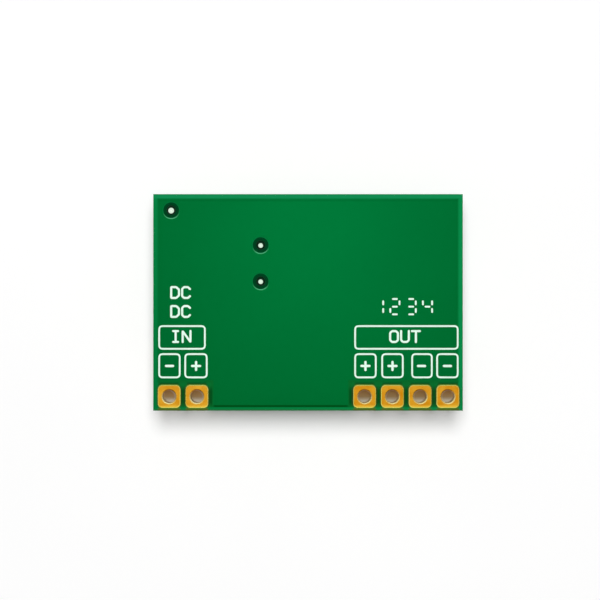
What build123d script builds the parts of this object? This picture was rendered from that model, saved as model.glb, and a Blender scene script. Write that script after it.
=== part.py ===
"""A small step-down power module, lying bare side up on its inductor.

X runs along the board's long side and Y across it, with the row of terminals at -Y.
Z points up, out of the bare side. The origin is the middle of the board's outline, on
the surface that the inductor rests on. All sizes are in millimetres.
"""

from build123d import *
from math import radians, tan
import os

os.makedirs("parts", exist_ok=True)

# Board
board_length = 28.3
board_width = 19.8
laminate_thickness = 1.5
copper_thickness = 0.05
mask_thickness = 0.03
copper_inset = 0.45  # the copper plane stays this far inside the board's edge
ramp_width = 0.2  # the mask slopes down over this width at a copper edge

# Plated terminals along the lower edge
terminal_pitch = 2.54
terminal_gap = 0.46  # between neighbouring lands
input_end_inset = 1.45  # from the board's left end to the first hole's axis
output_end_inset = 1.36  # from its right end to the last hole's axis
terminal_row_inset = 1.3  # from the board's lower edge to the holes' axes
terminal_corner = 0.42
terminal_land_thickness = 0.09
terminal_edge_bevel = 0.06
terminal_hole_radius = 0.6
terminal_wall = 0.06
terminal_rim_bevel = 0.09
terminal_clearance = 0.38  # from a land to the plane around it
mask_gap = 0.07  # the mask stops this far from a bare land
input_terminals = 2
output_terminals = 4

# Vias, each filled with solder
via_radius = 0.4
via_clearance = 0.8  # the radius of the plane's opening round a via
via_ramp_width = 0.1  # the mask slopes down over this width into that opening
via_mask_gap = 0.03
via_dip = 0.05  # the solder's crown lies this far below the bare side's mask
via_crown_bevel = 0.11
corner_via_inset = (1.64, 1.47)  # from the board's left and upper edges
upper_via = (-4.33, 5.24)
lower_via = (-4.33, 1.93)

# Soldered parts in general
solder_thickness = 0.05
solder_climb = 0.6  # the share of a metal end that its solder climbs
slope_reach = 0.35  # where the solder's hollow slope bends, as shares of its toe
slope_rise = 0.3  # and of its climb
lead_toe = 0.3  # how far the solder reaches past a lead or a clip
land_margin = 0.05  # a land is this much wider than its solder, each side
end_coat = 0.04  # a chip's metal end stands this far proud of its body
edge_gap = 0.8
part_gap = 0.7
wide_gap = 1.05
narrow_gap = 0.35

# Shielded inductor
inductor_size = 9.9
inductor_height = 4.0
inductor_x = 2.8
inductor_y = 2.0
inductor_corner = 1.4
inductor_edge_bevel = 0.22
inductor_mouth_bevel = 0.11
inductor_bore_radius = 4.05
inductor_base_thickness = 0.5
inductor_ring_gap = 0.3
core_hub_radius = 1.9
core_lower_flange = 0.6
core_upper_flange = 0.8
core_recess = 0.12
wire_width = 0.6
wire_thickness = 0.3
winding_gap = 0.3  # from the winding to the flanges' rim
adhesive_depth = 0.5
adhesive_angle = 26
clip_thickness = 0.15
clip_width = 2.6
clip_reach = 2.4  # how far the clip runs under the base
clip_height = 1.5
notch_width = 0.9
notch_clearance = 0.12  # above the wire that leaves through the notch

# Regulator in a moulded eight-lead case
regulator_length = 4.9
regulator_width = 3.9
regulator_height = 1.5
regulator_standoff = 0.1
regulator_parting = 0.8
lead_pitch = 1.27
lead_width = 0.42
lead_thickness = 0.2
lead_span = 6.0
lead_foot = 0.6
lead_shank = 0.3
lead_anchor = 0.4
lead_bend = 0.12
leads_per_side = 4
draft_angle = 8
case_bevel = 0.3
dimple_radius = 0.35
dimple_depth = 0.08
dimple_inset = 0.75
thermal_pad_length = 3.2
thermal_pad_width = 2.3
thermal_pad_anchor = 0.1

# Rectifier diode
diode_length = 4.3
diode_width = 2.7
diode_height = 2.2
diode_lead_width = 1.45
diode_lead_thickness = 0.16
diode_lead_gap = 0.18  # between the case's end and the lead's inner face
diode_lead_foot = 1.1
diode_parting = 1.15

# Chips: the power capacitors and the small parts
power_chip = {"length": 3.2, "width": 2.5, "height": 2.0, "band": 0.5, "toe": 0.42}
small_capacitor = {"length": 1.6, "width": 0.8, "height": 0.8, "band": 0.3, "toe": 0.3}
small_resistor = {"length": 1.6, "width": 0.8, "height": 0.45, "band": 0.3, "toe": 0.3}
chip_bevel = 0.07
small_pitch = 2.3  # between neighbouring small chips in a row
feedback_pitch = 1.6

# Levels, up from the surface that the inductor rests on
seat_z = inductor_height
front_land_z = seat_z + solder_thickness
front_face_z = front_land_z + copper_thickness
back_face_z = front_face_z + laminate_thickness
back_copper_z = back_face_z + copper_thickness
back_mask_z = back_copper_z + mask_thickness

# The board's edges
left = -board_length / 2
right = board_length / 2
lower = -board_width / 2
upper = board_width / 2

# Terminals
terminal_size = terminal_pitch - terminal_gap
terminal_y = lower + terminal_row_inset
terminal_top = terminal_y + terminal_size / 2
input_first_x = left + input_end_inset
output_last_x = right - output_end_inset
input_xs = [input_first_x + n * terminal_pitch for n in range(input_terminals)]
output_xs = [output_last_x - n * terminal_pitch for n in reversed(range(output_terminals))]
terminal_names = [
    "edge_terminal_vin_minus",
    "edge_terminal_vin_plus",
    "edge_terminal_vout_plus_1",
    "edge_terminal_vout_plus_2",
    "edge_terminal_vout_minus_1",
    "edge_terminal_vout_minus_2",
]

# Vias
corner_via = (left + corner_via_inset[0], upper - corner_via_inset[1])
via_places = [corner_via, upper_via, lower_via]

# Places of the soldered parts, seen from the bare side
chip_row_1_y = upper - edge_gap - small_capacitor["width"] / 2
chip_row_2_y = chip_row_1_y - small_capacitor["width"] - part_gap
regulator_x = upper_via[0] - via_radius - narrow_gap - lead_span / 2
regulator_y = chip_row_2_y - small_capacitor["width"] / 2 - part_gap - regulator_length / 2
inductor_half = inductor_size / 2
inductor_span = inductor_size + 2 * clip_thickness
input_chip_y = terminal_top + part_gap + power_chip["toe"] + power_chip["length"] / 2
input_chip_x1 = left + edge_gap + power_chip["width"] / 2
input_chip_x2 = input_chip_x1 + power_chip["width"] + part_gap
diode_lead_out = diode_length / 2 + diode_lead_gap + diode_lead_thickness
diode_x = input_chip_x2 + power_chip["width"] / 2 + part_gap + diode_lead_out
diode_y = inductor_y - inductor_half - narrow_gap - diode_width / 2
output_chip_x = inductor_x + inductor_span / 2 + wide_gap + power_chip["length"] / 2
output_chip_step = (power_chip["width"] + part_gap) / 2
feedback_x = diode_x + diode_lead_out + wide_gap + small_resistor["width"] / 2
feedback_y = diode_y


def put(shape, x, y, turn=0):
    """Hangs a part, drawn standing on its seat, under the board at x, y."""
    return Pos(x, y, seat_z) * Rot(0, 0, turn) * Rot(180, 0, 0) * shape


def prism(sketch, low, high):
    """A flat outline, raised from one level to another."""
    return extrude(Pos(0, 0, low) * sketch, amount=high - low, dir=(0, 0, 1))


def rectangle(x0, y0, x1, y1):
    """A flat rectangle between two corners."""
    return Pos((x0 + x1) / 2, (y0 + y1) / 2) * Rectangle(x1 - x0, y1 - y0)


def total(shapes):
    """All the shapes joined."""
    shapes = list(shapes)
    return shapes[0] + shapes[1:]


def upright(points):
    """A face in the XZ plane through the given x, z points."""
    return make_face(Polyline(*[(x, 0, z) for x, z in points], close=True))


def strip(points, thickness, width, bend):
    """A strip of metal bent along x, z points, its width centred on Y.

    Each bend is cut across, so that it turns in two steps.
    """
    path = [Vector(points[0][0], 0, points[0][1])]
    for before, corner, after in zip(points, points[1:], points[2:]):
        corner = Vector(corner[0], 0, corner[1])
        for side in (before, after):
            path.append(corner + (Vector(side[0], 0, side[1]) - corner).normalized() * bend)
    path.append(Vector(points[-1][0], 0, points[-1][1]))
    line = Polyline(*path)
    across = Plane(origin=path[0], x_dir=(0, 1, 0), z_dir=line % 0)
    return sweep(across * Rectangle(width, thickness), path=line, transition=Transition.RIGHT)


def land_shape(grow=0.0):
    """The rounded square land of a terminal."""
    side = terminal_size + 2 * grow
    return RectangleRounded(side, side, terminal_corner + grow)


def terminals():
    """Every terminal's name with the x of its axis."""
    return list(zip(terminal_names, input_xs + output_xs))


# Lands of the soldered parts


def chip_lands(chip, x, y, turn=0):
    """The two rectangles of plated copper under a chip's ends."""
    inner = chip["length"] / 2 - chip["band"]
    outer = chip["length"] / 2 + chip["toe"] + land_margin
    across = chip["width"] / 2 + land_margin
    if turn == 0:
        return [
            (x - outer, y - across, x - inner, y + across),
            (x + inner, y - across, x + outer, y + across),
        ]
    return [
        (x - across, y - outer, x + across, y - inner),
        (x - across, y + inner, x + across, y + outer),
    ]


def lead_lands():
    """The rectangles under the regulator's leads: the left side, then the right."""
    inner = lead_span / 2 - lead_foot
    outer = lead_span / 2 + lead_toe + land_margin
    across = lead_width / 2 + land_margin
    found = []
    for side in (-1, 1):
        for y in lead_ys():
            ends = sorted((regulator_x + side * inner, regulator_x + side * outer))
            found.append((ends[0], regulator_y + y - across, ends[1], regulator_y + y + across))
    return found


def lead_ys():
    """The leads' places along the regulator's case, from its middle."""
    middle = (leads_per_side - 1) / 2
    return [(n - middle) * lead_pitch for n in range(leads_per_side)]


def thermal_land():
    """The rectangle under the regulator's thermal pad."""
    half_x = thermal_pad_width / 2 + land_margin
    half_y = thermal_pad_length / 2 + land_margin
    return (regulator_x - half_x, regulator_y - half_y, regulator_x + half_x, regulator_y + half_y)


def diode_lands():
    """The rectangles under the diode's two folded leads."""
    outer = diode_lead_out + lead_toe + land_margin
    inner = diode_lead_out - diode_lead_foot
    across = diode_lead_width / 2 + land_margin
    return [
        (diode_x - outer, diode_y - across, diode_x - inner, diode_y + across),
        (diode_x + inner, diode_y - across, diode_x + outer, diode_y + across),
    ]


def inductor_lands():
    """The rectangles under the inductor's two clips."""
    outer = inductor_span / 2 + lead_toe + land_margin
    inner = inductor_span / 2 - clip_reach
    across = clip_width / 2 + land_margin
    return [
        (inductor_x - outer, inductor_y - across, inductor_x - inner, inductor_y + across),
        (inductor_x + inner, inductor_y - across, inductor_x + outer, inductor_y + across),
    ]


# Every chip: name, kind, x, y and turn
power_chips = [
    ("input_capacitor_1", power_chip, input_chip_x1, input_chip_y, 90),
    ("input_capacitor_2", power_chip, input_chip_x2, input_chip_y, 90),
    ("output_capacitor_1", power_chip, output_chip_x, inductor_y + output_chip_step, 0),
    ("output_capacitor_2", power_chip, output_chip_x, inductor_y - output_chip_step, 0),
]
small_chips = [
    ("soft_start_capacitor", small_capacitor, regulator_x - small_pitch, chip_row_2_y, 0),
    ("timing_resistor", small_resistor, regulator_x, chip_row_2_y, 0),
    ("boot_capacitor", small_capacitor, regulator_x + small_pitch, chip_row_2_y, 0),
    ("enable_resistor_1", small_resistor, regulator_x - small_pitch, chip_row_1_y, 0),
    ("enable_resistor_2", small_resistor, regulator_x, chip_row_1_y, 0),
    ("feedback_resistor_1", small_resistor, feedback_x, feedback_y, 90),
    ("feedback_resistor_2", small_resistor, feedback_x + feedback_pitch, feedback_y, 90),
]
chips = power_chips + small_chips


# Board


def terminal_holes(radius):
    """The row of terminal holes as flat circles."""
    return total(Pos(x, terminal_y) * Circle(radius) for _, x in terminals())


def via_circles(radius):
    """The vias as flat circles."""
    return total(Pos(*place) * Circle(radius) for place in via_places)


def drilled_outline():
    """The board's outline with every plated hole open to the outside of its plating."""
    outline = Rectangle(board_length, board_width)
    outline -= terminal_holes(terminal_hole_radius + terminal_wall)
    return outline - via_circles(via_radius)


def laminate():
    """The glass-fibre board."""
    return prism(drilled_outline(), front_face_z, back_face_z)


def plane_outline(pull=0.0):
    """The bare side's copper plane, pulled back from its edges by an extra amount.

    It is cut away round both groups of terminals, out to the board's sides.
    """
    x0 = left + copper_inset + pull
    x1 = right - copper_inset - pull
    y0 = lower + copper_inset + pull
    y1 = upper - copper_inset - pull
    away = terminal_size / 2 + terminal_clearance + pull
    notch_left = input_xs[-1] + away
    notch_right = output_xs[0] - away
    notch_top = terminal_y + away
    return Polygon(
        (notch_left, y0),
        (notch_right, y0),
        (notch_right, notch_top),
        (x1, notch_top),
        (x1, y1),
        (x0, y1),
        (x0, notch_top),
        (notch_left, notch_top),
        align=None,
    )


def back_copper_plane():
    """The copper under the bare side's mask."""
    return prism(plane_outline() - via_circles(via_clearance), back_face_z, back_copper_z)


def cone(place, low_radius, high_radius, low, high):
    """A short upright cone at a via."""
    shape = Cone(low_radius, high_radius, high - low)
    return Pos(place[0], place[1], (low + high) / 2) * shape


def back_solder_mask():
    """The bare side's mask: a thin coat that rises over the plane with sloping edges."""
    low_mask_z = back_face_z + mask_thickness
    coat = prism(Rectangle(board_length, board_width), back_face_z, low_mask_z)
    foot = Pos(0, 0, low_mask_z) * plane_outline(-mask_thickness - ramp_width / 2)
    crest = Pos(0, 0, back_mask_z) * plane_outline(ramp_width / 2 - mask_thickness)
    coat += loft([foot, crest], ruled=True)
    mouth = via_clearance - mask_thickness
    for place in via_places:
        narrow, wide = mouth - via_ramp_width / 2, mouth + via_ramp_width / 2
        coat -= cone(place, narrow, wide, low_mask_z, back_mask_z)
    coat -= back_copper_plane()
    coat -= prism(via_circles(via_radius + via_mask_gap), back_face_z, back_mask_z)
    for _, x in terminals():
        coat -= prism(Pos(x, terminal_y) * land_shape(mask_gap), back_face_z, back_mask_z)
    return coat


def front_land(grow=0.0):
    """A terminal's land on the component side: a square with its corners cut off."""
    return octagon(terminal_size + 2 * grow, terminal_corner)


def terminal(x):
    """One plated hole with its lands: a rounded one on the bare side, a cut one on the other."""
    top = back_face_z + terminal_land_thickness
    bottom = front_face_z - terminal_land_thickness
    place = Pos(x, terminal_y)
    piece = prism(place * land_shape(), back_face_z, top)
    piece = chamfer(piece.faces().sort_by(Axis.Z)[-1].edges(), terminal_edge_bevel)
    piece += prism(place * front_land(), bottom, front_face_z)
    piece += prism(place * Circle(terminal_hole_radius + terminal_wall), bottom, top)
    piece -= prism(place * Circle(terminal_hole_radius), bottom, top)
    mouth = piece.faces().sort_by(Axis.Z)[-1].inner_wires()[0]
    return chamfer(mouth.edges(), terminal_rim_bevel)


def via(place):
    """One plated via with its solder filling, crowned on the bare side."""
    filling = prism(Pos(*place) * Circle(via_radius), front_face_z, back_mask_z - via_dip)
    crown = filling.faces().sort_by(Axis.Z)[-1].edges()
    return chamfer(crown, via_crown_bevel)


# Component-side copper and mask


def grown(box, amount):
    """A rectangle given by corners, larger by an amount on each side."""
    return rectangle(box[0] - amount, box[1] - amount, box[2] + amount, box[3] + amount)


def soldered_lands():
    """Every rectangle of copper that a part is soldered to."""
    found = lead_lands() + [thermal_land()] + diode_lands() + inductor_lands()
    for _, chip, x, y, turn in chips:
        found += chip_lands(chip, x, y, turn)
    return found


def terminal_lands(grow=0.0):
    """All the terminals' component-side lands as flat shapes."""
    return total(Pos(x, terminal_y) * front_land(grow) for _, x in terminals())


def front_lands():
    """The lands under the soldered parts."""
    return [prism(grown(land, 0), front_land_z, front_face_z) for land in soldered_lands()]


def front_solder_mask():
    """The component side's mask, open round every land."""
    outer_z = front_land_z - mask_thickness
    openings = total(grown(land, mask_gap / 2) for land in soldered_lands())
    openings += terminal_lands(mask_gap)
    return prism(Rectangle(board_length, board_width) - openings, outer_z, front_face_z)


# Chips


def chip_body(chip):
    """A chip's ceramic block."""
    size = (chip["length"], chip["width"], chip["height"])
    return Pos(0, 0, chip["height"] / 2) * Box(*[side - 2 * end_coat for side in size])


def chip_ends(chip, bevel):
    """A chip's two metal ends, which wrap round the block."""
    ends = []
    for side in (-1, 1):
        cap = Box(chip["band"], chip["width"], chip["height"])
        cap = Pos(side * (chip["length"] - chip["band"]) / 2, 0, chip["height"] / 2) * cap
        if bevel:
            outer = cap.faces().sort_by(Axis.X)[0 if side < 0 else -1]
            cap = chamfer(outer.edges(), chip_bevel)
        ends.append(cap - chip_body(chip))
    return ends


# Solder


def joint(inner, end, height, width, toe):
    """The solder at one metal end: a layer under it and a hollow slope up its outside."""
    low = -solder_thickness
    rise = height * solder_climb
    slope = (end + toe * slope_reach, low + (rise - low) * slope_rise)
    profile = [(inner, low), (end + toe, low), slope, (end, rise), (end, 0), (inner, 0)]
    return extrude(upright(profile), amount=width / 2, both=True)


def both_ends(piece):
    """A piece and its like at the other end of the part, half a turn away."""
    return [piece, Rot(0, 0, 180) * piece]


def solder_joints():
    """Every soldered joint on the component side."""
    found = []
    for _, chip, x, y, turn in chips:
        end = chip["length"] / 2
        piece = joint(end - chip["band"], end, chip["height"], chip["width"], chip["toe"])
        found += [put(one, x, y, turn) for one in both_ends(piece)]
    tip = lead_span / 2
    for y in lead_ys():
        piece = joint(tip - lead_foot, tip, lead_thickness, lead_width, lead_toe)
        found += [put(one, regulator_x, regulator_y + y) for one in both_ends(piece)]
    under_pad = Pos(0, 0, -solder_thickness / 2)
    under_pad *= Box(thermal_pad_width, thermal_pad_length, solder_thickness)
    found.append(put(under_pad, regulator_x, regulator_y))
    end = diode_lead_out
    piece = joint(end - diode_lead_foot, end, diode_parting, diode_lead_width, lead_toe)
    found += [put(one, diode_x, diode_y) for one in both_ends(piece)]
    end = inductor_span / 2
    piece = joint(end - clip_reach, end, clip_height, clip_width, lead_toe)
    found += [put(one, inductor_x, inductor_y) for one in both_ends(piece)]
    return found


# Moulded cases


def moulded_case(length, width, low, parting, high, draft):
    """A block in two halves that taper away from the parting line."""
    outline = Rectangle(length, width)
    top = extrude(Pos(0, 0, parting) * outline, amount=high - parting, taper=draft)
    bottom = extrude(Pos(0, 0, parting) * outline, amount=parting - low, dir=(0, 0, -1), taper=draft)
    return top + bottom


def gull_lead():
    """One lead on the +X side, from inside the case down to its foot."""
    half = lead_thickness / 2
    tip = lead_span / 2
    knee = tip - lead_foot
    case = regulator_width / 2
    shoulder = case + lead_shank
    points = [
        (case - lead_anchor, regulator_parting),
        (shoulder, regulator_parting),
        (knee + half, half),
        (tip, half),
    ]
    return strip(points, lead_thickness, lead_width, lead_bend)


def regulator_leads():
    """The eight gull-wing leads, standing on the seat."""
    found = []
    for y in lead_ys():
        found += both_ends(Pos(0, y, 0) * gull_lead())
    return found


def thermal_pad():
    """The bare metal pad under the regulator."""
    height = regulator_standoff + thermal_pad_anchor
    return Pos(0, 0, height / 2) * Box(thermal_pad_width, thermal_pad_length, height)


def regulator_body():
    """The regulator's case, with a bevel and a dimple that mark the first lead."""
    case = moulded_case(
        regulator_width,
        regulator_length,
        regulator_standoff,
        regulator_parting,
        regulator_height + regulator_standoff,
        draft_angle,
    )
    top = case.faces().sort_by(Axis.Z)[-1]
    case = chamfer(top.edges().sort_by(Axis.X)[0], case_bevel)
    spot_x = dimple_inset - regulator_width / 2
    spot_y = regulator_length / 2 - dimple_inset
    spot_z = regulator_height + regulator_standoff
    case -= Pos(spot_x + case_bevel, spot_y, spot_z) * Cylinder(dimple_radius, 2 * dimple_depth)
    return case - regulator_leads() - thermal_pad()


def diode_leads():
    """The diode's two leads, folded down its ends and under it."""
    half = diode_lead_thickness / 2
    out = diode_lead_out - half
    anchor = diode_length / 2 - lead_anchor
    points = [
        (anchor, diode_parting),
        (out, diode_parting),
        (out, half),
        (diode_lead_out - diode_lead_foot, half),
    ]
    return both_ends(strip(points, diode_lead_thickness, diode_lead_width, lead_bend))


def diode_body():
    """The diode's case, standing on its folded leads."""
    case = moulded_case(
        diode_length, diode_width, diode_lead_thickness, diode_parting, diode_height, draft_angle
    )
    return case - diode_leads()


# Shielded inductor


def octagon(size, corner):
    """A square with its corners cut off."""
    half = size / 2
    near = half - corner
    points = [(near, -half), (half, -near), (half, near), (near, half)]
    return Polygon(*points, *[(-x, -y) for x, y in points], align=None)


def inductor_base():
    """The plate that carries the core and the clips."""
    low = clip_thickness
    return prism(octagon(inductor_size, inductor_corner), low, low + inductor_base_thickness)


def inductor_clips():
    """The two tinned clips, each under the base and up its end."""
    half = clip_thickness / 2
    out = inductor_half + half
    points = [
        (inductor_span / 2 - clip_reach, half),
        (out, half),
        (out, clip_height),
    ]
    return both_ends(strip(points, clip_thickness, clip_width, half))


def inductor_shield():
    """The square ferrite ring round the winding, notched for the wire's two ends."""
    low = clip_thickness + inductor_base_thickness
    ring = prism(octagon(inductor_size, inductor_corner), low, inductor_height)
    top = ring.faces().sort_by(Axis.Z)[-1]
    ring = chamfer(top.edges(), inductor_edge_bevel)
    ring -= prism(Circle(inductor_bore_radius), low, inductor_height)
    notch_height = core_lower_flange + wire_thickness + notch_clearance
    ring -= Pos(0, 0, low + notch_height / 2) * Box(inductor_size, notch_width, notch_height)
    mouth = ring.edges().filter_by(GeomType.CIRCLE).sort_by(Axis.Z)[-1]
    return chamfer(mouth, inductor_mouth_bevel)


def core_levels():
    """The core's foot, the winding's two ends and the core's top, from the seat up."""
    low = clip_thickness + inductor_base_thickness
    high = inductor_height - core_recess
    return low, low + core_lower_flange, high - core_upper_flange, high


def inductor_core():
    """The ferrite drum: a hub between two round flanges."""
    low, start, stop, high = core_levels()
    flange = inductor_bore_radius - inductor_ring_gap
    profile = [
        (0, low),
        (flange, low),
        (flange, start),
        (core_hub_radius, start),
        (core_hub_radius, stop),
        (flange, stop),
        (flange, high),
        (0, high),
    ]
    return revolve(upright(profile), axis=Axis.Z)


def inductor_winding():
    """The wire round the hub as one ring, with its two ends led out to the clips."""
    _, start, stop, _ = core_levels()
    outer = inductor_bore_radius - inductor_ring_gap - winding_gap
    coil = prism(Circle(outer) - Circle(core_hub_radius), start, stop)
    tail_z = start + wire_thickness / 2
    tail = Pos(0, 0, tail_z) * Box(inductor_size, wire_width, wire_thickness)
    return coil + (tail - Pos(0, 0, tail_z) * Cylinder(outer, wire_thickness))


def inductor_adhesive():
    """Four beads of adhesive in the ring gap between the core and the shield."""
    _, _, _, high = core_levels()
    flange = inductor_bore_radius - inductor_ring_gap
    ring = Circle(inductor_bore_radius) - Circle(flange)
    reach = inductor_bore_radius + inductor_ring_gap
    spread = reach * tan(radians(adhesive_angle / 2))
    wedge = Polygon((0, 0), (reach, -spread), (reach, spread), align=None)
    found = []
    for turn in (45, 135, 225, 315):
        found.append(prism(ring & (Rot(0, 0, turn) * wedge), high - adhesive_depth, high))
    return found


# Writing the pieces


def hang_all(shapes, x, y, turn=0):
    """One group of separate solids, hung under the board."""
    return Compound(children=[solid for shape in shapes for solid in put(shape, x, y, turn).solids()])


def write(name, shape):
    """Saves one piece under its name."""
    export_step(shape, "parts/" + name + ".step")


write("laminate", laminate())
write("back_copper_plane", back_copper_plane())
write("back_solder_mask", back_solder_mask())
write("front_lands", Compound(children=[land.solid() for land in front_lands()]))
write("front_solder_mask", front_solder_mask())
for name, x in terminals():
    write(name, terminal(x))
for number, place in enumerate(via_places, 1):
    write("via_" + str(number), via(place))

write("inductor_base", put(inductor_base(), inductor_x, inductor_y))
write("inductor_shield", put(inductor_shield(), inductor_x, inductor_y))
write("inductor_core", put(inductor_core(), inductor_x, inductor_y))
write("inductor_winding", put(inductor_winding(), inductor_x, inductor_y))
write("inductor_adhesive", hang_all(inductor_adhesive(), inductor_x, inductor_y))
for number, clip in enumerate(inductor_clips(), 1):
    write("inductor_clip_" + str(number), put(clip, inductor_x, inductor_y))

write("regulator_body", put(regulator_body(), regulator_x, regulator_y))
write("regulator_leads", hang_all(regulator_leads(), regulator_x, regulator_y))
write("regulator_thermal_pad", put(thermal_pad(), regulator_x, regulator_y))
write("diode_body", put(diode_body(), diode_x, diode_y))
write("diode_leads", hang_all(diode_leads(), diode_x, diode_y))

for name, chip, x, y, turn in chips:
    write(name + "_body", put(chip_body(chip), x, y, turn))
    write(name + "_ends", hang_all(chip_ends(chip, chip is power_chip), x, y, turn))
write("solder_joints", Compound(children=[one for shape in solder_joints() for one in shape.solids()]))
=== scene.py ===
"""The looks of a small step-down power module, lying bare side up on its inductor.

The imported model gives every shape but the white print. This script gives each piece its
finish, adds the print, and sets up the floor, the light and the camera. Lengths are in
metres, and small ones are written as millimetres times MM.
"""

import math

import bpy
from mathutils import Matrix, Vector
from mathutils.bvhtree import BVHTree


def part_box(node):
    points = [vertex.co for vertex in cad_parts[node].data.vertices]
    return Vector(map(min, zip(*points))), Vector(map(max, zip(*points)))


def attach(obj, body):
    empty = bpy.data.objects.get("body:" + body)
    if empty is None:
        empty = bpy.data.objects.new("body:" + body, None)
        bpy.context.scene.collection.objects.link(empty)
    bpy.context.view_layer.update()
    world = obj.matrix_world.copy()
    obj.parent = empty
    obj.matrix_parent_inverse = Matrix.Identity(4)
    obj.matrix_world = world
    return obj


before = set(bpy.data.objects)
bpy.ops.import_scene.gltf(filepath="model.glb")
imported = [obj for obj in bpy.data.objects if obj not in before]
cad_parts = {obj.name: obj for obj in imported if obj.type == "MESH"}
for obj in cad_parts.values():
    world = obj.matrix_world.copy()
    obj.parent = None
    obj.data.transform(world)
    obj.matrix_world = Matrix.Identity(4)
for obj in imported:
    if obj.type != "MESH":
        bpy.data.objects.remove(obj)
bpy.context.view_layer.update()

MM = 0.001
FAR = 1.0  # a metre, well past every side of the part
ROOT = "root"


def colour(red, green, blue):
    """A colour written as 0 to 255 on screen, for a shader."""
    def linear(value):
        value /= 255
        return value / 12.92 if value <= 0.04045 else ((value + 0.055) / 1.055) ** 2.4

    return (linear(red), linear(green), linear(blue), 1.0)


def centre(node):
    """The middle of a CAD node's box."""
    low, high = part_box(node)
    return (low + high) / 2


def moved(span, start):
    """A span counted from a place."""
    return tuple(start + end for end in span)


class Finish:
    """One material, whose nodes are made a call at a time."""

    def __init__(self, name, **sockets):
        self.material = bpy.data.materials.new(name)
        self.material.use_nodes = True
        self.nodes = self.material.node_tree.nodes
        self.links = self.material.node_tree.links
        self.shader = self.nodes["Principled BSDF"]
        self.place = self.node("ShaderNodeTexCoord").outputs["Object"]
        self.wear(**sockets)

    def put(self, socket, value):
        """Links a node's output to a socket, or sets the socket's own value."""
        if isinstance(value, bpy.types.NodeSocket):
            self.links.new(value, socket)
        else:
            socket.default_value = value

    def node(self, kind, inputs=None, **settings):
        """A new node with its settings and inputs."""
        made = self.nodes.new(kind)
        for name, value in settings.items():
            setattr(made, name, value)
        for name, value in (inputs or {}).items():
            self.put(made.inputs[name], value)
        return made

    def wear(self, **sockets):
        """Feeds the shader's sockets."""
        for socket, value in sockets.items():
            self.put(self.shader.inputs[socket.replace("_", " ")], value)
        return self.material

    def step(self, operation, *values):
        """One step of arithmetic."""
        inputs = dict(enumerate(values))
        return self.node("ShaderNodeMath", inputs, operation=operation).outputs[0]

    def times(self, first, *others):
        """A product."""
        for other in others:
            first = self.step("MULTIPLY", first, other)
        return first

    def plus(self, first, *others):
        """A sum."""
        for other in others:
            first = self.step("ADD", first, other)
        return first

    def off(self, value, level):
        """How far a value lies from a level, either way."""
        return self.step("ABSOLUTE", self.step("SUBTRACT", value, level))

    def vector_step(self, operation, *values):
        """One step of arithmetic with vectors."""
        return self.node("ShaderNodeVectorMath", dict(enumerate(values)), operation=operation)

    def axis(self, letter, vector=None):
        """One coordinate of a vector, or of the place on the piece."""
        split = self.node("ShaderNodeSeparateXYZ", {0: vector or self.place})
        return split.outputs[letter]

    def facing(self, letter):
        """One coordinate of the way in which the surface faces."""
        return self.axis(letter, self.node("ShaderNodeNewGeometry").outputs["Normal"])

    def remap(self, value, low, high, start=0.0, end=1.0):
        """Carries a value from one range to another and stops at its ends."""
        inputs = {
            "Value": value,
            "From Min": low,
            "From Max": high,
            "To Min": start,
            "To Max": end,
        }
        return self.node("ShaderNodeMapRange", inputs).outputs[0]

    def fade(self, value, span, full=1.0):
        """Full up to where the span starts, and nothing from where it ends."""
        return self.remap(value, *span, full, 0)

    def noise(self, size, detail=2.0, stretch=(1, 1, 1), low=0.3, high=0.7):
        """Soft blotches about size metres across, from 0 to 1."""
        inputs = {
            "Vector": self.vector_step("MULTIPLY", self.place, stretch).outputs[0],
            "Scale": 1 / size,
            "Detail": detail,
        }
        return self.remap(self.node("ShaderNodeTexNoise", inputs).outputs[0], low, high)

    def waves(self, value, pitch):
        """A sine wave along a value."""
        return self.step("SINE", self.times(value, math.tau / pitch))

    def mix(self, factor, a, b):
        """A colour between a and b."""
        made = self.node("ShaderNodeMix", data_type="RGBA")
        for socket, value in ((0, factor), (6, a), (7, b)):
            self.put(made.inputs[socket], value)
        return made.outputs[2]

    def bump(self, height, depth):
        """A surface normal from a height of 0 to 1 that stands for depth metres."""
        return self.node("ShaderNodeBump", {"Height": height, "Distance": depth}).outputs[0]

    def nearest(self, distances):
        """The least of some distances."""
        first, *others = distances
        for other in others:
            first = self.step("MINIMUM", first, other)
        return first

    def from_axes(self, places):
        """The distance to the nearest of some upright axes."""
        flat = self.vector_step("MULTIPLY", self.place, (1, 1, 0)).outputs[0]
        ways = [self.vector_step("DISTANCE", flat, (at[0], at[1], 0)) for at in places]
        return self.nearest([way.outputs["Value"] for way in ways])

    def beyond(self, letter, low, high):
        """How far the place lies outside a range of one coordinate, negative within it."""
        away = self.off(self.axis(letter), (low + high) / 2)
        return self.step("SUBTRACT", away, (high - low) / 2)

    def from_box(self, left, bottom, right, top):
        """The distance to an upright box, negative within it."""
        return self.step("MAXIMUM", self.beyond("X", left, right), self.beyond("Y", bottom, top))

    def from_boxes(self, boxes):
        """The distance to the nearest of some boxes."""
        return self.nearest([self.from_box(*box) for box in boxes])


def dress(material, *names):
    """Gives a finish to every CAD node whose name starts with one of the names."""
    for name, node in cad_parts.items():
        if name.startswith(names):
            node.data.materials.clear()
            node.data.materials.append(material)


# Board


LAMINATE_LOW, LAMINATE_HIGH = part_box("laminate")
MASK_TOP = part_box("back_solder_mask")[1].z
MASK_RELIEF = 0.05 * MM  # the mask lies this much lower where there is no copper

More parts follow.
